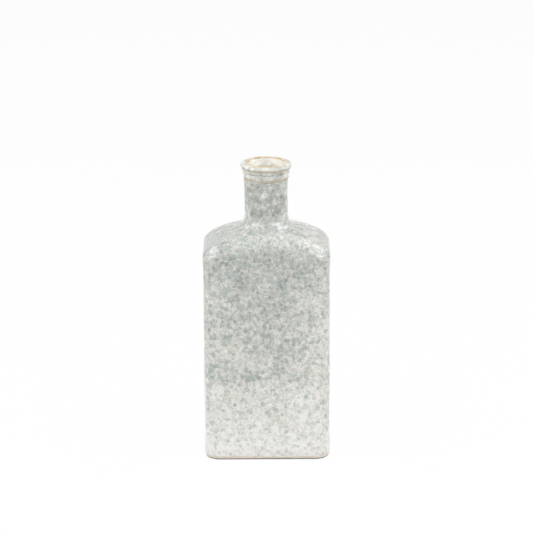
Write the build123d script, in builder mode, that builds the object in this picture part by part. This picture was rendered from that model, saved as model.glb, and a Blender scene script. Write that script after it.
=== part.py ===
# Stoneware bottle vase: a flat-sided bottle made from two moulded halves on a floor slab,
# with a thrown neck set into the shoulder and a thin glaze coat inside and out.
# Millimetres, +Z up, origin at the centre of the foot, front face towards -Y.

import os

from build123d import *

# Body
body_width = 104.5
body_depth = 67.0
edge_radius = 13.0  # rounding of the four upright edges
shoulder_start = 173.5  # height where the walls begin to turn in
shoulder_rise = 23.0  # from there up to the foot of the neck
side_power = 2.4  # how the narrow sides turn in: higher is squarer
face_power = 2.6  # the same for the broad faces
shoulder_steps = 8
step_crowding = 0.3  # brings the steps closer together where the shoulder lies flattest

# Clay and glaze
wall = 5.0
glaze = 0.5
slip_gap = 0.2  # room for joining slip round a fitted step

# Floor
flange_thickness = 4.0  # the rim that the walls stand on
panel_rise = 3.0  # the step that fits inside the walls
foot_width = 8.0  # the ring that the vase stands on
foot_recess = 2.0
recess_corner = 6.0
foot_rounding = 1.2
glaze_line = 2.8  # height of the bare foot

# Neck, from the shoulder seat up
neck_height = 53.5
neck_radius = 17.6
neck_wall = 4.6  # glaze included
seat_spread = 3.8  # how far the neck's foot spreads where it meets the shoulder
seat_flat = 0.5  # half length of the flats left where the shoulder turns round
foot_rise = 11.2  # height of the long hollow that leads from the seat up into the neck
spigot_wall = 4.0

# Flare, with drops measured down from the rim and spreads measured out from the neck
flare_drop = 26.2
ridge_drop = 11.8
ridge_spread = 0.95
ridge_bead = 0.8  # radius of the bare bead along the ridge
ridge_proud = 0.2
groove_drop = 6.4
groove_spread = 2.05

# Lip
lip_drop = 0.4  # how far the lip slopes down from the mouth to its outer edge
lip_spread = 3.8
lip_width = 5.4
lip_rounding = 1.8
throat_drop = 8.0
bare_edge = 0.25  # how far the clay shows past the glaze on the lip's face and at the mouth

# Levels, radii and insets that follow from the sizes above
seat_level = shoulder_start + shoulder_rise
land_level = seat_level - glaze
ceiling_level = land_level - wall
rim_level = seat_level + neck_height
lip_level = rim_level - lip_drop
lip_slope = lip_drop / lip_width
ridge_level = rim_level - ridge_drop
groove_level = rim_level - groove_drop
panel_level = flange_thickness + panel_rise
bore_radius = neck_radius - neck_wall
spigot_radius = bore_radius + spigot_wall
seat_radius = neck_radius + seat_spread
ridge_reach = neck_radius + ridge_spread
groove_reach = neck_radius + groove_spread
lip_reach = neck_radius + lip_spread
mouth_radius = lip_reach - lip_width
clay_inside = glaze + wall
water_inside = clay_inside + glaze
edge_cut = glaze * 2**0.5 + bare_edge
line_cut = glaze + bare_edge


def body_plan(inset):
    """Rounded rectangle of the body, set in from the glazed outside."""
    RectangleRounded(body_width - 2 * inset, body_depth - 2 * inset, edge_radius - inset)


def bottle_form(inset, bottom):
    """The body below the neck as one solid, its surface set in from the glazed outside."""
    top = seat_level - inset
    with BuildPart() as form:
        with BuildSketch(Plane.XY.offset(bottom)):
            body_plan(inset)
        extrude(amount=shoulder_start - bottom)
        for step in range(shoulder_steps + 1):
            share = step / shoulder_steps
            rise = share * (1 + step_crowding * (1 - share))
            side_turn = rise**side_power
            face_turn = rise**face_power
            width = (body_width - 2 * inset) * (1 - side_turn) + 2 * seat_radius * side_turn
            depth = (body_depth - 2 * inset) * (1 - face_turn) + 2 * seat_radius * face_turn
            corner = (edge_radius - inset) * (1 - side_turn) + (seat_radius - seat_flat) * side_turn
            with BuildSketch(Plane.XY.offset(shoulder_start + (top - shoulder_start) * rise)):
                RectangleRounded(width, depth, corner)
        loft()
    return form.part


def neck_outline(inset):
    """Half section of the neck and its spigot, both faces set in from the glazed surface."""
    throat = (bore_radius + inset, rim_level - throat_drop)
    foot = (seat_radius - inset, land_level)
    foot_top = (neck_radius - inset, seat_level + foot_rise)
    flare = (neck_radius - inset, rim_level - flare_drop)
    ridge = (ridge_reach - inset, ridge_level)
    groove = (groove_reach - inset, groove_level)
    lip_edge = (lip_reach - inset, lip_level - inset * (1 - lip_slope))
    mouth_edge = (mouth_radius + inset, rim_level - inset * (1 + lip_slope))
    with BuildSketch(Plane.XZ) as outline:
        with BuildLine():
            Polyline(
                throat,
                (bore_radius + inset, ceiling_level),
                (spigot_radius, ceiling_level),
                (spigot_radius, land_level),
                foot,
            )
            TangentArc(foot_top, foot, tangent=(0, -1))
            Line(foot_top, flare)
            TangentArc(flare, ridge, tangent=(0, 1))
            Polyline(ridge, groove, lip_edge, mouth_edge)
            TangentArc(throat, mouth_edge, tangent=(0, 1))
        make_face()
        lip_corner = outline.vertices().sort_by(Axis.Y)[-2]
        fillet(lip_corner, radius=lip_rounding - inset)
    return outline.sketch


def shell_half(keep):
    """One moulded half of the walls and shoulder, cut at the seam, with its half of the neck hole."""
    with BuildPart() as half:
        add(clay_form)
        add(cavity_form, mode=Mode.SUBTRACT)
        with BuildSketch(Plane.XY.offset(ceiling_level)):
            Circle(spigot_radius + slip_gap)
        extrude(amount=wall, mode=Mode.SUBTRACT)
        split(bisect_by=Plane.XZ, keep=keep)
    return half.part


# Forms of the body at each surface, from the outside in
outer_form = bottle_form(0, glaze_line)
coated_form = bottle_form(glaze, 0)
clay_form = bottle_form(glaze, flange_thickness)
cavity_form = bottle_form(clay_inside, flange_thickness)
lined_form = bottle_form(clay_inside, panel_level)
water_form = bottle_form(water_inside, panel_level + glaze)

# Half sections of the neck: glazed, bare, and the glaze bands between its ridges
glazed_neck = neck_outline(0)
bare_neck = neck_outline(glaze)

with BuildSketch(Plane.XZ) as neck_bands:
    add(glazed_neck)
    add(bare_neck, mode=Mode.SUBTRACT)
    with Locations((ridge_reach + ridge_proud - ridge_bead, ridge_level)):
        Circle(ridge_bead, mode=Mode.SUBTRACT)
    with Locations(((groove_reach + lip_reach) / 2, (groove_level + lip_level) / 2)):
        Circle(line_cut, mode=Mode.SUBTRACT)
    with Locations((mouth_radius, rim_level)):
        Circle(edge_cut, mode=Mode.SUBTRACT)

bands = neck_bands.sketch.faces().sort_by(Axis.Z)
bore_band, outer_band = bands[:2].sort_by(Axis.X)
collar_band, lip_band = bands[2:]

# Floor slab with the step that locates the walls and a hollowed underside
with BuildPart() as base_slab:
    with BuildSketch():
        body_plan(glaze)
    extrude(amount=flange_thickness)
    fillet(base_slab.faces().sort_by(Axis.Z)[0].edges(), radius=foot_rounding)
    with BuildSketch(Plane.XY.offset(flange_thickness)):
        body_plan(clay_inside + slip_gap)
    extrude(amount=panel_rise)
    with BuildSketch():
        ring = 2 * (glaze + foot_width)
        RectangleRounded(body_width - ring, body_depth - ring, recess_corner)
    extrude(amount=foot_recess, mode=Mode.SUBTRACT)

# Moulded halves, joined along the seam at the middle of the narrow sides
front_shell = shell_half(Keep.TOP)
back_shell = shell_half(Keep.BOTTOM)

# Thrown neck with its ridge, lip and spigot
with BuildPart() as neck_ring:
    with BuildSketch(Plane.XZ):
        add(glazed_neck)
        add(neck_bands.sketch, mode=Mode.SUBTRACT)
        with Locations((ridge_reach + ridge_proud - ridge_bead, ridge_level)):
            Circle(ridge_bead)
    revolve(axis=Axis.Z)

# Glaze coat over the walls, the shoulder and the neck up to its ridge
with BuildPart() as body_glaze:
    add(outer_form)
    add(coated_form, mode=Mode.SUBTRACT)
    with BuildSketch(Plane.XY.offset(land_level)):
        Circle(seat_radius - glaze)
    extrude(amount=glaze, mode=Mode.SUBTRACT)
    revolve(profiles=outer_band, axis=Axis.Z)

# Glaze bands above the ridge and over the lip
with BuildPart() as collar_glaze:
    revolve(profiles=collar_band, axis=Axis.Z)

with BuildPart() as lip_glaze:
    revolve(profiles=lip_band, axis=Axis.Z)

# Watertight lining of the body and the bore
with BuildPart() as lining_glaze:
    add(lined_form)
    add(water_form, mode=Mode.SUBTRACT)
    with BuildSketch(Plane.XY.offset(ceiling_level - glaze)):
        Circle(bore_radius)
    extrude(amount=glaze, mode=Mode.SUBTRACT)
    revolve(profiles=bore_band, axis=Axis.Z)

nodes = {
    "base_slab": base_slab.part,
    "front_shell": front_shell,
    "back_shell": back_shell,
    "neck_ring": neck_ring.part,
    "body_glaze": body_glaze.part,
    "collar_glaze": collar_glaze.part,
    "lip_glaze": lip_glaze.part,
    "lining_glaze": lining_glaze.part,
}

os.makedirs("parts", exist_ok=True)
for name, part in nodes.items():
    part.label = name
    export_step(part, f"parts/{name}.step")
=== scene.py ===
# Stoneware bottle vase with a mottled glaze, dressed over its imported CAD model
import math

import bmesh
import bpy
from mathutils import Matrix, Vector, noise


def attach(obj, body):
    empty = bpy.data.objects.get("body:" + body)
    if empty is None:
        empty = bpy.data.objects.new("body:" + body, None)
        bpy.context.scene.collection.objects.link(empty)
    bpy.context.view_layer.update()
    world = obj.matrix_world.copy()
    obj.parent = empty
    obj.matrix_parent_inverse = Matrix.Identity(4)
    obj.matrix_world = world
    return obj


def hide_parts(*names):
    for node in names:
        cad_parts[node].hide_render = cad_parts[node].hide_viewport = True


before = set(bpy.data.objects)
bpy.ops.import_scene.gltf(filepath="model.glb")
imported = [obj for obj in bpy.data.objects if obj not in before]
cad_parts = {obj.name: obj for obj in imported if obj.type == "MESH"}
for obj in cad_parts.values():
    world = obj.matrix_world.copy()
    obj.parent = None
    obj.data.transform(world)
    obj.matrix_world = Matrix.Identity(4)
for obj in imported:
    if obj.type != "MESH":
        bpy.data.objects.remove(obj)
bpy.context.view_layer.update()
mm = 0.001
print("frame loaded with", len(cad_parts), "clay and glaze nodes")

# the bottle's form in millimetres, as the CAD has it
bottle = {
    "halfWidth": 52.25,
    "halfDepth": 33.5,
    "edgeRadius": 13.0,
    "shoulderStart": 173.5,
    "seat": 196.5,
    "land": 196.0,  # where the neck stands
    "seatRadius": 21.4,
    "seatCorner": 20.9,
    "sidePower": 2.4,
    "facePower": 2.6,
    "neckRadius": 17.6,
    "neckFootTop": 207.7,
    "flareStart": 223.8,
    "ridge": 238.2,
    "ridgeRadius": 18.55,
    "groove": 243.6,
    "grooveRadius": 19.65,
    "lipLevel": 249.6,
    "lipRadius": 21.4,
    "lipRounding": 1.8,
    "rim": 250.0,
    "mouthRadius": 16.0,
    "throat": 242.0,
    "boreRadius": 13.0,
    "floorTop": 7.5,
    "liningInset": 6.0,
}


def spread(low, high, count):  # even steps, both ends included
    return [low + (high - low) * step / (count - 1) for step in range(count)]


def ringReach(angle, halfWidth, halfDepth, corner):  # from the axis out to a rounded rectangle
    alongX, alongY = abs(math.cos(angle)), abs(math.sin(angle))
    coreX, coreY = halfWidth - corner, halfDepth - corner
    if alongX * coreY >= alongY * halfWidth:  # leaves through a narrow side
        return halfWidth / alongX
    if alongY * coreX >= alongX * halfDepth:  # leaves through a broad face
        return halfDepth / alongY
    ahead = alongX * coreX + alongY * coreY  # leaves through a rounded edge
    return ahead + math.sqrt(ahead**2 - coreX**2 - coreY**2 + corner**2)


def bodySection(height, inset=0.0):
    start = bottle["shoulderStart"]
    rise = max(0.0, (height - start) / (bottle["seat"] - inset - start))
    side, face = rise ** bottle["sidePower"], rise ** bottle["facePower"]
    halfWidth = (bottle["halfWidth"] - inset) * (1 - side) + bottle["seatRadius"] * side
    halfDepth = (bottle["halfDepth"] - inset) * (1 - face) + bottle["seatRadius"] * face
    corner = (bottle["edgeRadius"] - inset) * (1 - side) + bottle["seatCorner"] * side
    return height, halfWidth, halfDepth, corner


def roundSection(height, radius):
    return height, radius, radius, radius


def swollen(section, amount):  # the same section set outwards
    height, halfWidth, halfDepth, corner = section
    return height, halfWidth + amount, halfDepth + amount, corner + amount


def hollowArc(height, low, high, inner, outer):  # radius of an arc that leaves the inner wall upright
    reach, rise = outer - inner, high - low
    bend = (reach**2 + rise**2) / (2 * reach)
    return inner + bend - math.sqrt(bend**2 - (height - low) ** 2)


def hump(height, level, reach):
    return math.exp(-(((height - level) / reach) ** 2))


def raiseRings(bm, sections, segments, capFirst=False):  # one ring extruded through every section
    turn = bm.verts.layers.float.new("turn")
    bmesh.ops.create_circle(bm, cap_ends=capFirst, segments=segments, radius=1.0)
    for index, vert in enumerate(bm.verts):
        vert[turn] = math.tau * index / segments
    ring, loop = bm.verts[:], bm.edges[:]
    for number, (height, halfWidth, halfDepth, corner) in enumerate(sections):
        if number:
            grown = bmesh.ops.extrude_edge_only(bm, edges=loop)["geom"]
            ring = [part for part in grown if isinstance(part, bmesh.types.BMVert)]
            fresh = set(ring)
            loop = list({edge for vert in ring for edge in vert.link_edges if set(edge.verts) <= fresh})
        for vert in ring:
            angle = vert[turn]
            reach = ringReach(angle, halfWidth, halfDepth, corner)
            vert.co = Vector((reach * math.cos(angle), reach * math.sin(angle), height)) * mm
    return turn


weldReach = 1e-6  # metres


def faceOutwards(bm, outwards=True):
    bmesh.ops.remove_doubles(bm, verts=bm.verts[:], dist=weldReach)
    bmesh.ops.recalc_face_normals(bm, faces=bm.faces[:])
    lean = sum(face.normal.xy.dot(face.calc_center_median().xy) for face in bm.faces)
    if (lean > 0) != outwards:
        bmesh.ops.reverse_faces(bm, faces=bm.faces[:])
    bm.normal_update()


def handWobble(bm, size, depth, seed):  # slow unevenness of hand-finished clay
    for vert in bm.verts:
        push = noise.noise(vert.co / (size * mm) + Vector((seed, 0.0, -seed)))
        vert.co += vert.normal * depth * mm * push
    bm.normal_update()


wander = {"broad": 3, "fine": 11, "fineShare": 0.7}  # lobes round a ragged edge


def raggedEdge(bm, turn, level, reach, amount, seed, slide=(0.0, 1.0)):  # lets a glaze edge wander
    start = Vector((0, 0, seed))
    for vert in bm.verts:
        near = max(0.0, 1 - abs(vert.co.z / mm - level) / reach)
        around = Vector((math.cos(vert[turn]), math.sin(vert[turn]), 0.0))
        lobes = noise.noise(around * wander["broad"] + start)
        lobes += wander["fineShare"] * noise.noise(around * wander["fine"] + start)
        vert.co += (around * slide[0] + Vector((0, 0, slide[1]))) * near * amount * mm * lobes


def finishPiece(bm, name, node, material, thickness):
    mesh = bpy.data.meshes.new(name)
    bm.to_mesh(mesh)
    bm.free()
    piece = bpy.data.objects.new(name, mesh)
    bpy.context.scene.collection.objects.link(piece)
    mesh.materials.append(material)
    for polygon in mesh.polygons:
        polygon.use_smooth = True
    wall = piece.modifiers.new("thickness", "SOLIDIFY")
    wall.thickness = thickness * mm
    wall.offset = -1.0  # all of it inwards
    wall.use_even_offset = True
    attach(piece, "root")
    if node:
        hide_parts(node)
    role = "stands for " + node if node else "is added on the neck"
    print(name, role, "with", len(mesh.polygons), "faces")


# node helpers

def feed(tree, socket, value):  # a number, a colour or another node's output
    if isinstance(value, bpy.types.NodeSocket):
        tree.links.new(value, socket)
    else:
        socket.default_value = value


def sums(tree, operation, first, second=0.0):
    made = tree.nodes.new("ShaderNodeMath")
    made.operation = operation
    feed(tree, made.inputs[0], first)
    feed(tree, made.inputs[1], second)
    return made.outputs[0]


def fade(tree, value, low, high, atLow=0.0, atHigh=1.0):  # a smooth step from low to high
    made = tree.nodes.new("ShaderNodeMapRange")
    made.interpolation_type = "SMOOTHSTEP"
    feed(tree, made.inputs["Value"], value)
    made.inputs["From Min"].default_value = low
    made.inputs["From Max"].default_value = high
    made.inputs["To Min"].default_value = atLow
    made.inputs["To Max"].default_value = atHigh
    return made.outputs["Result"]


def cloud(tree, where, size, detail=2.0, rough=0.5, colour=False):  # size in millimetres
    made = tree.nodes.new("ShaderNodeTexNoise")
    feed(tree, made.inputs["Vector"], where)
    made.inputs["Scale"].default_value = 1.0 / (size * mm)
    made.inputs["Detail"].default_value = detail
    made.inputs["Roughness"].default_value = rough
    return made.outputs["Color" if colour else "Fac"]


def cells(tree, where, size, feature, smooth=None):
    made = tree.nodes.new("ShaderNodeTexVoronoi")
    made.feature = feature
    feed(tree, made.inputs["Vector"], where)
    made.inputs["Scale"].default_value = 1.0 / (size * mm)
    if smooth is not None:
        made.inputs["Smoothness"].default_value = smooth
    return made


def vectorSum(tree, operation, first, second):
    made = tree.nodes.new("ShaderNodeVectorMath")
    made.operation = operation
    feed(tree, made.inputs[0], first)
    if operation == "SCALE":
        made.inputs["Scale"].default_value = second
    else:
        feed(tree, made.inputs[1], second)
    return made.outputs[0]


def mixed(tree, amount, under, over):  # sockets 6, 7 and 2 are the colours
    made = tree.nodes.new("ShaderNodeMix")
    made.data_type = "RGBA"
    feed(tree, made.inputs[0], amount)
    feed(tree, made.inputs[6], under)
    feed(tree, made.inputs[7], over)
    return made.outputs[2]


def tones(tree, value, stops):  # stops are (place, colour)
    made = tree.nodes.new("ShaderNodeValToRGB")
    feed(tree, made.inputs["Fac"], value)
    ramp = made.color_ramp
    while len(ramp.elements) < len(stops):
        ramp.elements.new(0.5)
    for element, (place, colour) in zip(ramp.elements, stops):
        element.position = place
        element.color = colour
    return made.outputs["Color"]


def paint(red, green, blue):  # screen colour, 0 to 255, as Blender's linear colour
    def linear(value):
        value /= 255
        return value / 12.92 if value <= 0.04045 else ((value + 0.055) / 1.055) ** 2.4
    return linear(red), linear(green), linear(blue), 1.0


def startMaterial(name):
    material = bpy.data.materials.new(name)
    material.use_nodes = True
    tree = material.node_tree
    shader = tree.nodes["Principled BSDF"]
    where = tree.nodes.new("ShaderNodeTexCoord").outputs["Object"]
    return material, tree, shader, where


def bumped(tree, shader, height, strength, distance):
    made = tree.nodes.new("ShaderNodeBump")
    made.inputs["Strength"].default_value = strength
    made.inputs["Distance"].default_value = distance * mm
    feed(tree, made.inputs["Height"], height)
    tree.links.new(made.outputs["Normal"], shader.inputs["Normal"])


# mottled glaze: grey-green blotches over cream, paler towards the foot
mottle = {
    "milk": (246, 245, 241),
    "pale": (232, 231, 225),
    "cream": (215, 216, 208),
    "grey": (182, 185, 177),
    "deep": (143, 149, 143),
    "teal": (168, 181, 177),
    "warm": (227, 215, 200),
    "umber": (164, 157, 146),
    "ochre": (208, 186, 148),
    "litFootEdge": (253, 243, 231),  # painted light where the coat ends above the foot
    "gloss": 0.14,
    "glossRange": 0.05,
    "glassIor": 1.58,
    "glint": (0.82, 0.84, 1.0, 1.0),  # the glaze's shine is slightly blue
    "skinShow": 0.05,
    "skinDepth": 0.2,
    "poreShare": 0.18,
}

# sizes of the glaze's pattern, in millimetres
grain = {
    "warp": 8.0,
    "warpReach": 2.2,
    "crinkle": 2.2,
    "crinkleReach": 0.9,
    "blotch": 3.8,
    "cell": 3.3,
    "speck": 1.0,
    "drift": 30.0,
    "run": 6.5,  # width of the streaks down the neck
    "dipLine": 67.0,  # height where the paler lower dip ends
    "dipBlur": 5.0,
    "dipWave": 24.0,
    "dipSway": 16.0,
    "clot": 4.5,
    "fray": 2.6,
    "cool": 6.5,
    "rusty": 4.0,
    "earthy": 9.0,
    "skin": 7.0,
    "pores": 1.6,
}
blotchRough = 0.55
cellBlend = 0.25
runStretch = (1.0, 1.0, 0.3)
rustyShift = (0.31, 0.17, 0.05)  # keeps the rust apart from the blotches

# the span of each noise that shows, from nothing to full
window = {
    "blotch": (0.34, 0.66),
    "darkCell": (0.6, 0.85),
    "vein": (0.0, 0.17),
    "run": (0.32, 0.68),
    "gatherAndGlint": (0.1, 1.6),
    "clot": (0.44, 0.56),
    "fray": (0.3, 0.62),
    "cool": (0.46, 0.68),
    "coolOn": (0.25, 0.7),
    "rusty": (0.56, 0.74),
    "earthy": (0.45, 0.7),
    "earthyOn": (0.35, 0.8),
    "gloss": (0.2, 0.8),
}

# where the tone changes, in millimetres up, out from the middle or behind it
zone = {
    "foot": (4.0, 52.0),
    "shoulderLine": (179.0, 11.0),  # height and reach
    "sides": (24.0, 50.0),
    "faces": (14.0, 31.0),
    "edges": (40.0, 110.0),
    "drift": (40.0, 90.0),
    "neck": (203.0, 211.0),
    "front": (-6.0, -2.0),
}

# how much each layer darkens the glaze, where 0 is milk and 1 is deep
weight = {
    "foot": 0.115,
    "body": 0.32,
    "upperDip": 0.17,
    # painted shade: a darker band where the front face turns into the shoulder
    "shoulderLine": 0.08,
    "lowEdges": 0.01,
    "highEdges": -0.1,  # painted light: paler along the upright edges, where the side lights fall, except near the foot
    "lowDrift": 0.2,
    "highDrift": 0.42,
    "blotch": 0.22,
    "patch": 0.22,
    "darkCell": 0.09,
    "vein": -0.18,
    "speck": 0.46,
    "neck": 0.1,
    "run": 0.26,
}
middle = {"noise": 0.5, "darkCell": 0.2, "vein": 0.3}  # what a layer takes as its mean
tint = {"cool": 0.65, "rusty": 0.5, "earthy": 0.5}
toneStops = ((0.0, "milk"), (0.17, "pale"), (0.36, "cream"), (0.68, "grey"), (1.0, "deep"))

# slow changes of tone, the first the glaze's own and the rest painted light and shade: which way, from, to,
# how much darker at the far end
slopes = (
    ("up", 75.0, 165.0, 0.16),
    ("up", 182.0, 191.0, -0.07),  # painted light: paler where the shoulder turns up to the light above
    # painted light: lighter towards the right of the front face, and painted shade darkens the right edge
    ("right", 10.0, 34.0, -0.075),
    ("right", 38.0, 50.0, 0.085),
)

# darker and paler spots on the front, gathers of glaze and at the shoulder corners painted highlight: x,
# height, half width, half height, how dark
gathersAndGlints = (
    # painted highlight: these four paler spots at the shoulder corners lighten the glaze where the glints
    # fall
    (-40.0, 184.0, 9.0, 4.5, -0.06),
    (-26.0, 189.5, 9.0, 3.0, -0.06),
    (42.0, 182.0, 8.0, 5.0, -0.14),
    (31.0, 188.0, 8.0, 3.0, -0.04),
    (0.0, 219.0, 4.0, 13.0, -0.15),
    (8.0, 216.0, 4.5, 12.0, 0.1),
    (-6.9, 222.5, 4.8, 3.6, 0.26),
    (-5.7, 211.0, 4.0, 3.6, 0.3),
    (9.4, 212.5, 3.4, 2.4, 0.23),
    (5.0, 228.5, 3.4, 3.0, 0.18),
    (14.0, 221.0, 3.0, 5.5, 0.17),
    (-13.0, 96.0, 9.0, 3.0, 0.12),
    (-12.0, 73.0, 9.0, 3.2, 0.14),
    (21.0, 152.0, 3.2, 3.6, 0.12),
    (-30.0, 78.0, 7.0, 4.0, 0.1),
)


def shifted(tree, where, size, reach):  # a push in every direction from a colour noise
    push = vectorSum(tree, "SUBTRACT", cloud(tree, where, size, 1.0, 0.5, True), (middle["noise"],) * 3)
    return vectorSum(tree, "SCALE", push, reach * mm)


def weighed(tree, total, value, mean, amount):  # adds (value - mean) * amount
    share = sums(tree, "MULTIPLY", sums(tree, "SUBTRACT", value, mean), amount)
    return sums(tree, "ADD", total, share)


def placed(tree, where):  # places on the vase, in millimetres
    axes = tree.nodes.new("ShaderNodeSeparateXYZ")
    tree.links.new(where, axes.inputs[0])
    across, behind, height = (sums(tree, "MULTIPLY", axes.outputs[axis], 1 / mm) for axis in ("X", "Y", "Z"))
    square = sums(tree, "ADD", sums(tree, "POWER", across, 2.0), sums(tree, "POWER", behind, 2.0))
    return {
        "up": height,
        "across": sums(tree, "SQRT", square),  # out from the axis
        "right": across,
        "behind": behind,
        "sideways": sums(tree, "ABSOLUTE", across),
        "deep": sums(tree, "ABSOLUTE", behind),
    }


def nearLine(tree, value, level, reach):  # 1 on a line, fading to 0 at its reach
    away = sums(tree, "ABSOLUTE", sums(tree, "SUBTRACT", value, level))
    return fade(tree, away, 0.0, reach, 1.0, 0.0)


def toneByPlace(tree, place, where, tone):  # slow changes over the whole vase
    height = place["up"]
    wave = sums(tree, "SUBTRACT", cloud(tree, where, grain["dipWave"]), middle["noise"])
    dipEdge = sums(tree, "ADD", height, sums(tree, "MULTIPLY", wave, grain["dipSway"]))
    upper = fade(tree, dipEdge, grain["dipLine"] - grain["dipBlur"], grain["dipLine"] + grain["dipBlur"])
    dark = sums(tree, "ADD", tone, fade(tree, height, *zone["foot"], weight["foot"], weight["body"]))
    dark = weighed(tree, dark, upper, 0.0, weight["upperDip"])
    # painted shade along the foot of the shoulder
    shoulder = nearLine(tree, height, *zone["shoulderLine"])
    dark = weighed(tree, dark, shoulder, 0.0, weight["shoulderLine"])
    for way, low, high, amount in slopes:
        dark = weighed(tree, dark, fade(tree, place[way], low, high), 0.0, amount)
    # painted light: the upright edges are paler where the side lights fall on them
    sides = fade(tree, place["sideways"], *zone["sides"])
    edges = sums(tree, "MULTIPLY", sides, fade(tree, place["deep"], *zone["faces"]))
    edgeLight = fade(tree, height, *zone["edges"], weight["lowEdges"], weight["highEdges"])
    dark = sums(tree, "ADD", dark, sums(tree, "MULTIPLY", edges, edgeLight))
    drift = sums(tree, "SUBTRACT", cloud(tree, where, grain["drift"]), middle["noise"])
    reach = fade(tree, height, *zone["drift"], weight["lowDrift"], weight["highDrift"])
    return sums(tree, "ADD", dark, sums(tree, "MULTIPLY", drift, reach))


def neckRuns(tree, bent):  # glaze runs stretch down the neck
    tall = tree.nodes.new("ShaderNodeMapping")
    tree.links.new(bent, tall.inputs["Vector"])
    tall.inputs["Scale"].default_value = runStretch
    return fade(tree, cloud(tree, tall.outputs["Vector"], grain["run"], 1.0), *window["run"])


def withGathersAndGlints(tree, place, dark):
    inFront = fade(tree, place["behind"], *zone["front"], 1.0, 0.0)
    for x, level, halfWidth, halfHeight, amount in gathersAndGlints:
        alongX = sums(tree, "MULTIPLY", sums(tree, "SUBTRACT", place["right"], x), 1 / halfWidth)
        alongZ = sums(tree, "MULTIPLY", sums(tree, "SUBTRACT", place["up"], level), 1 / halfHeight)
        away = sums(tree, "ADD", sums(tree, "POWER", alongX, 2.0), sums(tree, "POWER", alongZ, 2.0))
        spot = sums(tree, "MULTIPLY", fade(tree, away, *window["gatherAndGlint"], 1.0, 0.0), inFront)
        dark = weighed(tree, dark, spot, 0.0, amount)
    return dark


def mottledGlaze(name, tone, breaks, poolsAndShade=(), lively=1.0):
    material, tree, shader, where = startMaterial(name)
    place = placed(tree, where)
    height = place["up"]
    onNeck = fade(tree, height, *zone["neck"])

    bent = vectorSum(tree, "ADD", where, shifted(tree, where, grain["warp"], grain["warpReach"]))
    bent = vectorSum(tree, "ADD", bent, shifted(tree, where, grain["crinkle"], grain["crinkleReach"]))
    blotch = fade(tree, cloud(tree, bent, grain["blotch"], 2.0, blotchRough), *window["blotch"])
    split = tree.nodes.new("ShaderNodeSeparateColor")
    tree.links.new(cells(tree, bent, grain["cell"], "SMOOTH_F1", cellBlend).outputs["Color"], split.inputs[0])
    patch = split.outputs["Red"]
    darkCell = fade(tree, patch, *window["darkCell"])
    edge = cells(tree, bent, grain["cell"], "DISTANCE_TO_EDGE").outputs["Distance"]
    vein = fade(tree, edge, *window["vein"], 1.0, 0.0)
    speck = cloud(tree, where, grain["speck"], 1.0)

    dark = toneByPlace(tree, place, where, tone)
    dark = weighed(tree, dark, blotch, middle["noise"], weight["blotch"] * lively)
    dark = weighed(tree, dark, patch, middle["noise"], weight["patch"] * lively)
    dark = weighed(tree, dark, darkCell, middle["darkCell"], weight["darkCell"] * lively)
    dark = weighed(tree, dark, vein, middle["vein"], weight["vein"] * lively)
    dark = weighed(tree, dark, speck, middle["noise"], weight["speck"] * lively)
    onFlow = weighed(tree, weight["neck"], neckRuns(tree, bent), middle["noise"], weight["run"])
    dark = sums(tree, "ADD", dark, sums(tree, "MULTIPLY", onNeck, onFlow))
    dark = withGathersAndGlints(tree, place, dark)
    clots = cloud(tree, where, grain["clot"], 1.0)
    for level, reach, amount, even in poolsAndShade:  # darker bands: glaze gathered in a hollow, and painted shade on and under the lip
        uneven = fade(tree, clots, *window["clot"], even, 1.0)
        pooledAndShaded = sums(tree, "MULTIPLY", nearLine(tree, height, level, reach), uneven)
        dark = weighed(tree, dark, pooledAndShaded, 0.0, amount)

    colour = tones(tree, dark, [(stop, paint(*mottle[shade])) for stop, shade in toneStops])
    cool = fade(tree, cloud(tree, bent, grain["cool"]), *window["cool"])
    cool = sums(tree, "MULTIPLY", cool, fade(tree, dark, *window["coolOn"], 0.0, tint["cool"]))
    colour = mixed(tree, cool, colour, paint(*mottle["teal"]))
    rustyPlace = vectorSum(tree, "ADD", bent, rustyShift)
    rusty = fade(tree, cloud(tree, rustyPlace, grain["rusty"]), *window["rusty"], 0.0, tint["rusty"])
    colour = mixed(tree, rusty, colour, paint(*mottle["warm"]))
    earthy = sums(tree, "MULTIPLY", fade(tree, cloud(tree, bent, grain["earthy"]), *window["earthy"]), onNeck)
    earthy = sums(tree, "MULTIPLY", earthy, fade(tree, dark, *window["earthyOn"], 0.0, tint["earthy"]))
    colour = mixed(tree, earthy, colour, paint(*mottle["umber"]))
    fray = fade(tree, cloud(tree, where, grain["fray"]), *window["fray"])
    for way, level, reach, amount, shade in breaks:  # the glaze thins along its edges
        thin = sums(tree, "MULTIPLY", nearLine(tree, place[way], level, reach), fray)
        colour = mixed(tree, sums(tree, "MULTIPLY", thin, amount), colour, paint(*mottle[shade]))
    tree.links.new(colour, shader.inputs["Base Color"])

    shader.inputs["IOR"].default_value = mottle["glassIor"]
    shader.inputs["Specular Tint"].default_value = mottle["glint"]
    glossEnds = (mottle["gloss"] - mottle["glossRange"], mottle["gloss"] + mottle["glossRange"])
    tree.links.new(fade(tree, speck, *window["gloss"], *glossEnds), shader.inputs["Roughness"])
    pores = cloud(tree, where, grain["pores"], 1.0)
    skin = weighed(tree, cloud(tree, where, grain["skin"]), pores, middle["noise"], mottle["poreShare"])
    bumped(tree, shader, skin, mottle["skinShow"], mottle["skinDepth"])
    return material


# pale lining: cream glaze with throwing rings that break to ochre
lining = {
    "cream": (232, 228, 220),
    "shade": (219, 216, 208),
    "white": (250, 248, 243),
    "ochre": (228, 208, 174),
    "gloss": 0.2,
    "cloud": 6.0,
    "cloudWindow": (0.3, 0.7),
    "whiteBelow": (241.5, 247.0),  # painted light: paler lower down in the mouth, against the shade there
    "fray": 5.0,
    "frayWindow": (0.35, 0.6),
    "rings": ((244.4, 0.9, 0.4), (249.6, 0.9, 0.8)),  # height, reach, how much ochre
    "pits": 4.0,
    "pitShow": 0.3,
    "pitDepth": 0.2,
}


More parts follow.
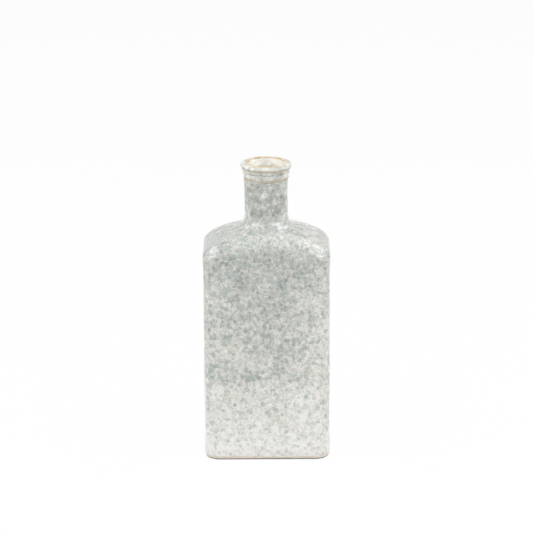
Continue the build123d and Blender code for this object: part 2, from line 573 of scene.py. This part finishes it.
def paleLining(name):
    material, tree, shader, where = startMaterial(name)
    height = placed(tree, where)["up"]
    shaded = fade(tree, cloud(tree, where, lining["cloud"], 3.0), *lining["cloudWindow"])
    colour = tones(tree, shaded, [(0.0, paint(*lining["cream"])), (1.0, paint(*lining["shade"]))])
    # painted light: paler lower down in the mouth, against the shade inside the neck
    litBelow = fade(tree, height, *lining["whiteBelow"], 1.0, 0.0)
    colour = mixed(tree, litBelow, colour, paint(*lining["white"]))
    fray = fade(tree, cloud(tree, where, lining["fray"]), *lining["frayWindow"])
    for level, reach, amount in lining["rings"]:
        thin = sums(tree, "MULTIPLY", nearLine(tree, height, level, reach), fray)
        colour = mixed(tree, sums(tree, "MULTIPLY", thin, amount), colour, paint(*lining["ochre"]))
    tree.links.new(colour, shader.inputs["Base Color"])
    shader.inputs["Roughness"].default_value = lining["gloss"]
    bumped(tree, shader, cloud(tree, where, lining["pits"]), lining["pitShow"], lining["pitDepth"])
    return material


# bare stoneware, tan and slightly sandy
clay = {
    "buff": (242, 231, 218),
    "toast": (230, 218, 203),
    "ochre": (212, 202, 181),
    "rust": (196, 183, 158),
    "gold": (230, 209, 170),
    "amber": (214, 189, 144),
    "veil": (230, 226, 217),  # thin glaze carried over the bead at the mouth
    "film": (190, 191, 182),  # and over the ridge
    "fleck": (160, 140, 116),
    "contactShade": (66, 59, 48),  # painted shadow along the edge that stands on the table
    "contactShadeZone": (0.5, 1.8),
    "cloud": 5.0,
    "cloudWindow": (0.32, 0.68),
    "sand": 0.9,
    "fleckWindow": (0.58, 0.72),
    "fleckShow": 0.5,
    "filmCloud": 3.6,
    "filmWindow": (0.46, 0.62),
    "filmShow": 0.75,
    "roughFrom": (0.2, 0.8),
    "rough": (0.7, 0.9),
    "sandShow": 0.5,
    "sandDepth": 0.12,
}


def bareClay(name, buff, toast, film=None):
    material, tree, shader, where = startMaterial(name)
    clouded = fade(tree, cloud(tree, where, clay["cloud"], 3.0), *clay["cloudWindow"])
    sand = cloud(tree, where, clay["sand"])
    colour = mixed(tree, clouded, paint(*buff), paint(*toast))
    flecks = fade(tree, sand, *clay["fleckWindow"], 0.0, clay["fleckShow"])
    colour = mixed(tree, flecks, colour, paint(*clay["fleck"]))
    # painted shadow: the lowest millimetres darken towards the table
    tableShadow = fade(tree, placed(tree, where)["up"], *clay["contactShadeZone"], 1.0, 0.0)
    colour = mixed(tree, tableShadow, colour, paint(*clay["contactShade"]))
    if film:  # the glaze wets the clay here and there
        wet = fade(tree, cloud(tree, where, clay["filmCloud"]), *clay["filmWindow"], 0.0, clay["filmShow"])
        colour = mixed(tree, wet, colour, paint(*film))
    tree.links.new(colour, shader.inputs["Base Color"])
    tree.links.new(fade(tree, sand, *clay["roughFrom"], *clay["rough"]), shader.inputs["Roughness"])
    bumped(tree, shader, sand, clay["sandShow"], clay["sandDepth"])
    return material


# glaze coat over the walls, shoulder and neck
glazeCoat = {
    "segments": 224,
    "wallRings": 80,
    "shoulderRings": 26,
    "footRings": 12,
    "neckRings": 11,
    "flareRings": 11,
    "lowEdge": 2.6,
    "lowCurl": ((0.0, -0.4), (0.15, -0.15)),  # above the low edge, and how far out
    "fullFrom": 0.5,
    "wallFrom": 1.2,
    "seatGap": 0.35,
    "footGap": 1.0,
    "neckGap": 1.4,
    "flareGap": 1.2,
    "topGap": 0.3,
    "topEdge": 237.4,
    "topCurl": -0.4,
    "neckSwell": 0.2,  # the coat is thickest on the neck
    "roll": 0.38,  # glaze gathered above the bare foot
    "rollHeight": 8.5,
    "rollReach": 3.4,
    "corner": 0.55,  # and where the walls turn into the shoulder
    "cornerHeight": 177.0,
    "cornerReach": 9.0,
    "seatZone": (193.0, 203.0),  # smoothed, so that the neck meets the shoulder without a crease
    "seatPasses": 10,
    "seatFactor": 0.5,
    "wobbles": ((38.0, 0.32, 3.7), (12.0, 0.03, 9.1)),  # size, depth, seed
    "lowWander": (3.0, 0.7, 2.3),  # reach, amount, seed
    "topWander": (2.0, 0.4, 5.9),
    "tone": 0.0,
    "breaks": (  # which way, place, reach, how much, colour
        # painted light: paler along the glaze's lower edge
        ("up", 3.0, 1.3, 1.0, "litFootEdge"),
        ("up", 237.8, 1.2, 0.6, "ochre"),
    ),
    "thickness": 0.45,
}


def gatheredCoat(height):  # extra glaze on the body
    atFoot = glazeCoat["roll"] * hump(height, glazeCoat["rollHeight"], glazeCoat["rollReach"])
    atCorner = glazeCoat["corner"] * hump(height, glazeCoat["cornerHeight"], glazeCoat["cornerReach"])
    return atFoot + atCorner


def coatSections():
    low, top, swell = glazeCoat["lowEdge"], glazeCoat["topEdge"], glazeCoat["neckSwell"]
    shoulder, flare, neck = bottle["shoulderStart"], bottle["flareStart"], bottle["neckRadius"]
    sections = [swollen(bodySection(low + rise), out) for rise, out in glazeCoat["lowCurl"]]
    heights = [low + glazeCoat["fullFrom"]]
    heights += spread(low + glazeCoat["wallFrom"], shoulder, glazeCoat["wallRings"])
    heights += spread(shoulder, bottle["seat"] - glazeCoat["seatGap"], glazeCoat["shoulderRings"])[1:]
    sections += [swollen(bodySection(height), gatheredCoat(height)) for height in heights]
    foot, footTop = bottle["land"], bottle["neckFootTop"]
    for height in spread(foot + glazeCoat["footGap"], footTop, glazeCoat["footRings"]):
        radius = hollowArc(footTop - height, 0.0, footTop - foot, neck, bottle["seatRadius"])
        sections.append(roundSection(height, radius + swell * (height - foot) / (footTop - foot)))
    for height in spread(footTop + glazeCoat["neckGap"], flare, glazeCoat["neckRings"]):
        sections.append(roundSection(height, neck + swell))
    for height in spread(flare + glazeCoat["flareGap"], top - glazeCoat["topGap"], glazeCoat["flareRings"]):
        radius = hollowArc(height, flare, bottle["ridge"], neck, bottle["ridgeRadius"])
        share = (top - height) / (top - flare)
        sections.append(roundSection(height, radius + swell * min(1.0, 2 * share)))
    sections.append(roundSection(top, bottle["ridgeRadius"] + glazeCoat["topCurl"]))
    return sections


def buildGlazeCoat():
    bm = bmesh.new()
    turn = raiseRings(bm, coatSections(), glazeCoat["segments"])
    faceOutwards(bm)
    seatLow, seatHigh = glazeCoat["seatZone"]
    seat = [vert for vert in bm.verts if seatLow < vert.co.z / mm < seatHigh]
    for _ in range(glazeCoat["seatPasses"]):
        bmesh.ops.smooth_vert(bm, verts=seat, factor=glazeCoat["seatFactor"],
                              use_axis_x=True, use_axis_y=True, use_axis_z=True)
    bm.normal_update()
    for wobble in glazeCoat["wobbles"]:
        handWobble(bm, *wobble)
    raggedEdge(bm, turn, glazeCoat["lowEdge"], *glazeCoat["lowWander"])
    raggedEdge(bm, turn, glazeCoat["topEdge"], *glazeCoat["topWander"])
    material = mottledGlaze("mottled_glaze_body", glazeCoat["tone"], glazeCoat["breaks"])
    finishPiece(bm, "glaze_coat", "body_glaze", material, glazeCoat["thickness"])


# glaze band on the flare between the ridge and the lip, sunk where it pools under the lip
collarBand = {
    "segments": 160,
    "rings": 30,
    "lowEdge": 239.0,
    "topEdge": 246.6,
    "cover": 0.05,  # stands this far over the bare clay
    "swell": 0.12,
    "swellLevel": 241.2,
    "swellReach": 1.8,
    "pool": 0.25,
    "poolLevel": 243.6,
    "poolReach": 0.7,
    "curl": 0.3,  # how far both edges turn in
    "lowCurlReach": 0.3,
    "topCurlReach": 0.15,
    "wobble": (9.0, 0.06, 1.9),
    "lowWander": (1.4, 0.45, 4.4),
    "topWander": (0.8, 0.3, 7.2),
    "tone": -0.32,
    "breaks": (
        ("up", 238.7, 1.0, 0.6, "ochre"),
        ("up", 246.2, 1.2, 0.55, "ochre"),
    ),
    # the first pools in the groove; the second, right under the lip, is pooled glaze with painted shade
    "poolsAndShade": ((243.7, 1.2, 0.55, 0.1), (246.2, 1.1, 0.22, 0.6)),  # height, reach, how dark, how even
    "thickness": 0.4,
}


def lipFace(height):  # radius of the straight flare below the rounded lip
    levels = (bottle["ridge"], bottle["groove"], bottle["lipLevel"])
    radii = (bottle["ridgeRadius"], bottle["grooveRadius"], bottle["lipRadius"])
    step = 0 if height < levels[1] else 1
    share = (height - levels[step]) / (levels[step + 1] - levels[step])
    return radii[step] * (1 - share) + radii[step + 1] * share


def buildCollarBand():
    low, top = collarBand["lowEdge"], collarBand["topEdge"]
    sections = []
    for height in spread(low, top, collarBand["rings"]):
        radius = lipFace(height) + collarBand["cover"]
        radius += collarBand["swell"] * hump(height, collarBand["swellLevel"], collarBand["swellReach"])
        radius -= collarBand["pool"] * hump(height, collarBand["poolLevel"], collarBand["poolReach"])
        curled = hump(height, low, collarBand["lowCurlReach"]) + hump(height, top, collarBand["topCurlReach"])
        sections.append(roundSection(height, radius - collarBand["curl"] * curled))
    bm = bmesh.new()
    turn = raiseRings(bm, sections, collarBand["segments"])
    faceOutwards(bm)
    handWobble(bm, *collarBand["wobble"])
    raggedEdge(bm, turn, low, *collarBand["lowWander"])
    raggedEdge(bm, turn, top, *collarBand["topWander"])
    material = mottledGlaze("mottled_glaze_collar", collarBand["tone"], collarBand["breaks"],
                            collarBand["poolsAndShade"])
    finishPiece(bm, "collar_band", "collar_glaze", material, collarBand["thickness"])


# glaze band over the rounded lip, from its face up to the mouth
lipBand = {
    "segments": 160,
    "faceRings": 4,
    "edgeRings": 12,
    "topRings": 10,
    "lowEdge": 246.75,
    "lowCurl": ((0.0, -0.25), (0.08, -0.05)),  # above the low edge, and how far out
    "fullFrom": 0.25,
    "faceGap": 0.1,
    "cover": 0.06,
    "swell": 0.3,
    "crown": 0.12,
    "mouthGap": 0.45,
    "mouthCurl": ((-0.04, 0.25), (-0.3, 0.15)),  # from the rim, and out from the mouth
    "wobble": (16.0, 0.1, 6.2),
    "lowWander": (0.6, 0.3, 8.8),
    "rimWander": (0.35, 0.12, 3.1),
    "tone": -0.31,
    "lively": 0.6,
    "breaks": (
        ("up", 247.0, 1.6, 0.5, "ochre"),
        ("across", 16.6, 2.0, 0.6, "ochre"),
        ("across", 21.4, 1.3, 0.18, "ochre"),
    ),
    # painted shade: the lip's outer face is darker than its lit top
    "poolsAndShade": ((247.3, 2.4, 0.28, 0.8),),
    "thickness": 0.4,
}


def lipSections():
    rim, level, outer, mouth = bottle["rim"], bottle["lipLevel"], bottle["lipRadius"], bottle["mouthRadius"]
    low, cover, bend = lipBand["lowEdge"], lipBand["cover"], bottle["lipRounding"]
    faceLean = math.atan2(outer - bottle["grooveRadius"], level - bottle["groove"])
    topLean = math.atan2(rim - level, outer - mouth)
    start, finish = -faceLean, math.pi / 2 - topLean  # the arc's normals, from the face round to the top
    back = bend * math.tan((finish - start) / 2)
    centreRadius = outer - back * math.sin(faceLean) - bend * math.cos(faceLean)
    centreHeight = level - back * math.cos(faceLean) + bend * math.sin(faceLean)
    faceEnd = centreHeight + bend * math.sin(start)
    sections = [roundSection(low + rise, lipFace(low + rise) + out) for rise, out in lipBand["lowCurl"]]
    for height in spread(low + lipBand["fullFrom"], faceEnd - lipBand["faceGap"], lipBand["faceRings"]):
        sections.append(roundSection(height, lipFace(height) + cover))
    for angle in spread(start, finish, lipBand["edgeRings"]):  # the glaze lies thickest on the outer edge
        reach = bend + cover + lipBand["swell"] * math.cos(angle) ** 2
        height = centreHeight + reach * math.sin(angle)
        sections.append(roundSection(height, centreRadius + reach * math.cos(angle)))
    near = sections[-1][1]
    for share in spread(1 / lipBand["topRings"], 1.0, lipBand["topRings"]):  # across the top
        radius = near + (mouth + lipBand["mouthGap"] - near) * share
        lift = lipBand["crown"] * math.sin(math.pi * share) + cover
        sections.append(roundSection(level + (outer - radius) * math.tan(topLean) + lift, radius))
    sections += [roundSection(rim + rise, mouth + out) for rise, out in lipBand["mouthCurl"]]
    return sections


def buildLipBand():
    bm = bmesh.new()
    turn = raiseRings(bm, lipSections(), lipBand["segments"])
    faceOutwards(bm)
    handWobble(bm, *lipBand["wobble"])
    raggedEdge(bm, turn, lipBand["lowEdge"], *lipBand["lowWander"])
    raggedEdge(bm, turn, bottle["rim"], *lipBand["rimWander"], slide=(1.0, 0.0))
    material = mottledGlaze("mottled_glaze_lip", lipBand["tone"], lipBand["breaks"],
                            lipBand["poolsAndShade"], lipBand["lively"])
    finishPiece(bm, "lip_band", "lip_glaze", material, lipBand["thickness"])


# rounded bead of clay round the mouth, where the glaze runs off it
mouthBead = {
    "segments": 160,
    "steps": 13,
    "radius": 0.6,
    "reach": 16.2,
    "level": 249.95,
    "turns": (215, -35),  # degrees, over the top from the bore to the lip
    "wobble": (7.0, 0.16, 5.3),
    "thickness": 0.3,
}


def buildMouthBead():
    first, last = (math.radians(turned) for turned in mouthBead["turns"])
    sections = []
    for angle in spread(first, last, mouthBead["steps"]):
        height = mouthBead["level"] + mouthBead["radius"] * math.sin(angle)
        sections.append(roundSection(height, mouthBead["reach"] + mouthBead["radius"] * math.cos(angle)))
    bm = bmesh.new()
    raiseRings(bm, sections, mouthBead["segments"])
    bmesh.ops.recalc_face_normals(bm, faces=bm.faces[:])
    if sum(face.normal.z for face in bm.faces) < 0:
        bmesh.ops.reverse_faces(bm, faces=bm.faces[:])
    bm.normal_update()
    handWobble(bm, *mouthBead["wobble"])
    material = bareClay("gold_bead", clay["gold"], clay["amber"], clay["veil"])
    finishPiece(bm, "mouth_bead", None, material, mouthBead["thickness"])


# watertight lining, with spiral throwing rings in the neck
liningCoat = {
    "segments": 160,
    "wallRings": 30,
    "shoulderRings": 14,
    "boreRings": 72,
    "mouthRings": 12,
    "floorCurve": ((0.0, -3.0), (0.3, -1.4), (1.1, -0.4)),  # above the floor, and how far out
    "wallFrom": 2.5,
    "ceilingGap": 0.3,
    "ceilingCurve": ((0.0, 18.0), (0.05, 15.0), (0.4, 13.3)),  # above the ceiling, and the radius
    "boreFrom": 1.5,
    "mouthFrom": 0.6,
    "ringPitch": 4.6,
    "ringDepth": 0.14,
    "ringsStart": 3.0,  # above the ceiling
    "ringsGrow": 6.0,
    "ringsFade": 3.0,  # below the rim
    "topEdge": 249.45,
    "topWander": (1.0, 0.25, 11.3),
    "thickness": 0.42,
}


def liningSections():
    inset, ground, shoulder = bottle["liningInset"], bottle["floorTop"], bottle["shoulderStart"]
    throat, ceiling = bottle["throat"], bottle["seat"] - inset
    sections = [swollen(bodySection(ground + rise, inset), out) for rise, out in liningCoat["floorCurve"]]
    heights = spread(ground + liningCoat["wallFrom"], shoulder, liningCoat["wallRings"])
    heights += spread(shoulder, ceiling - liningCoat["ceilingGap"], liningCoat["shoulderRings"])[1:]
    sections += [bodySection(height, inset) for height in heights]
    sections += [roundSection(ceiling + rise, radius) for rise, radius in liningCoat["ceilingCurve"]]
    for height in spread(ceiling + liningCoat["boreFrom"], throat, liningCoat["boreRings"]):
        sections.append(roundSection(height, bottle["boreRadius"]))
    for height in spread(throat + liningCoat["mouthFrom"], liningCoat["topEdge"], liningCoat["mouthRings"]):
        radius = hollowArc(height, throat, bottle["rim"], bottle["boreRadius"], bottle["mouthRadius"])
        sections.append(roundSection(height, radius))
    return sections


def buildLiningCoat():
    bm = bmesh.new()
    turn = raiseRings(bm, liningSections(), liningCoat["segments"], capFirst=True)
    faceOutwards(bm, outwards=False)
    ringsLow = bottle["seat"] - bottle["liningInset"] + liningCoat["ringsStart"]
    for vert in bm.verts:  # a thrower's finger leaves a slow spiral
        height = vert.co.z / mm
        grown = min(1.0, max(0.0, (height - ringsLow) / liningCoat["ringsGrow"]))
        faded = min(1.0, max(0.0, (bottle["rim"] - height) / liningCoat["ringsFade"]))
        wave = math.sin(math.tau * height / liningCoat["ringPitch"] + vert[turn])
        vert.co += vert.normal * liningCoat["ringDepth"] * mm * wave * grown * faded
    bm.normal_update()
    raggedEdge(bm, turn, liningCoat["topEdge"], *liningCoat["topWander"])
    material = paleLining("pale_lining")
    finishPiece(bm, "lining_coat", "lining_glaze", material, liningCoat["thickness"])


buildGlazeCoat()
buildCollarBand()
buildLipBand()
buildMouthBead()
buildLiningCoat()

# the clay that stays as the CAD has it
clayBody = bareClay("bare_stoneware", clay["buff"], clay["toast"])
clayRidge = bareClay("ochre_ridge", clay["ochre"], clay["rust"], clay["film"])
clayFinish = {"base_slab": clayBody, "front_shell": clayBody, "back_shell": clayBody, "neck_ring": clayRidge}
for nodeName, finish in clayFinish.items():
    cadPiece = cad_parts[nodeName]
    cadPiece.data.materials.clear()
    cadPiece.data.materials.append(finish)
print("bare clay set on the floor, both halves and the neck")

# white table and sky
studio = {
    "floorSize": 14.0,
    "floorBounce": 0.55,
    "floorSeen": 0.93,
    "floorGlow": 0.95,
    "skyLevel": 0.3,
    "skySeen": 1.0,
    "aim": (0.0, 0.0, 0.19),
    "away": 1.35,
    "sideAngle": (100.0, 43.0),  # round from the front, up from the table
    "sideSize": (1.3, 0.5),
    "sideWatts": 7.1,
    "frontAngle": (53.0, 17.0),
    "frontSize": (1.3, 0.355),
    "frontWatts": 7.25,
    "topAngle": (0.0, 55.0),
    "topAway": 1.75,
    "topSize": (2.0, 2.0),
    "topWatts": 6.5,
}


def seenDirectly(tree):  # 1 for what the camera sees, mirrored or through glass too
    path = tree.nodes.new("ShaderNodeLightPath")
    seen = sums(tree, "MAXIMUM", path.outputs["Is Camera Ray"], path.outputs["Is Glossy Ray"])
    return sums(tree, "MAXIMUM", seen, path.outputs["Is Transmission Ray"])


def buildFloor():
    bm = bmesh.new()
    bmesh.ops.create_grid(bm, x_segments=2, y_segments=2, size=studio["floorSize"] / 2)
    mesh = bpy.data.meshes.new("table_top")
    bm.to_mesh(mesh)
    bm.free()
    floor = bpy.data.objects.new("table_top", mesh)
    bpy.context.scene.collection.objects.link(floor)
    material = bpy.data.materials.new("white_table")
    material.use_nodes = True
    tree = material.node_tree
    tree.nodes.clear()
    out = tree.nodes.new("ShaderNodeOutputMaterial")
    matt = tree.nodes.new("ShaderNodeBsdfDiffuse")
    white = tree.nodes.new("ShaderNodeEmission")
    seen = seenDirectly(tree)
    bounced, shown = ((studio[level],) * 3 + (1.0,) for level in ("floorBounce", "floorSeen"))
    tree.links.new(mixed(tree, seen, bounced, shown), matt.inputs["Color"])
    share = tree.nodes.new("ShaderNodeMixShader")
    tree.links.new(sums(tree, "MULTIPLY", seen, studio["floorGlow"]), share.inputs[0])
    tree.links.new(matt.outputs[0], share.inputs[1])
    tree.links.new(white.outputs[0], share.inputs[2])
    tree.links.new(share.outputs[0], out.inputs["Surface"])
    mesh.materials.append(material)


def buildSky():
    world = bpy.data.worlds.new("white_room")
    bpy.context.scene.world = world
    world.use_nodes = True
    tree = world.node_tree
    back = tree.nodes["Background"]
    seen = seenDirectly(tree)
    level = tree.nodes.new("ShaderNodeMapRange")
    tree.links.new(seen, level.inputs["Value"])
    level.inputs["To Min"].default_value = studio["skyLevel"]
    level.inputs["To Max"].default_value = studio["skySeen"]
    back.inputs["Color"].default_value = (1.0, 1.0, 1.0, 1.0)
    tree.links.new(level.outputs["Result"], back.inputs["Strength"])


def hangSoftbox(name, side, angle, away, size, watts):
    lamp = bpy.data.lights.new(name, "AREA")
    lamp.shape = "RECTANGLE"
    lamp.size, lamp.size_y = size
    lamp.energy = watts
    box = bpy.data.objects.new(name, lamp)
    bpy.context.scene.collection.objects.link(box)
    around, above = (math.radians(turned) for turned in angle)
    level = math.cos(above)
    way = Vector((side * math.sin(around) * level, -math.cos(around) * level, math.sin(above)))
    box.location = Vector(studio["aim"]) + way * away
    box.rotation_euler = (-way).to_track_quat("-Z", "Y").to_euler()


buildFloor()
buildSky()
for sideName, side in (("left", -1), ("right", 1)):
    for boxName in ("side", "front"):
        hangSoftbox(boxName + "_softbox_" + sideName, side, studio[boxName + "Angle"], studio["away"],
                    studio[boxName + "Size"], studio[boxName + "Watts"])
hangSoftbox("top_softbox", 1, studio["topAngle"], studio["topAway"], studio["topSize"], studio["topWatts"])

# camera as the photograph has it
view = {
    "distance": 2.5,
    "elevation": 18.0,
    "aim": (0.0, 0.0, 0.1597),
    "roll": 0.3,
    "pixels": 533,
    "metresPerPixel": 0.8333 * mm,
    "sensor": 36.0,
    "farEnd": 50.0,
}
lens = bpy.data.cameras.new("photo_camera")
lens.sensor_width = view["sensor"]
lens.lens = view["sensor"] * view["distance"] / (view["pixels"] * view["metresPerPixel"])
lens.clip_end = view["farEnd"]
camera = bpy.data.objects.new("photo_camera", lens)
bpy.context.scene.collection.objects.link(camera)
tilt = math.radians(view["elevation"])
camera.location = Vector(view["aim"]) + view["distance"] * Vector((0, -math.cos(tilt), math.sin(tilt)))
facing = (Vector(view["aim"]) - camera.location).to_track_quat("-Z", "Y").to_matrix().to_4x4()
camera.rotation_euler = (facing @ Matrix.Rotation(math.radians(-view["roll"]), 4, "Z")).to_euler()
bpy.context.scene.camera = camera
bpy.context.scene.view_settings.view_transform = "Standard"
print("camera, table and softboxes in place")
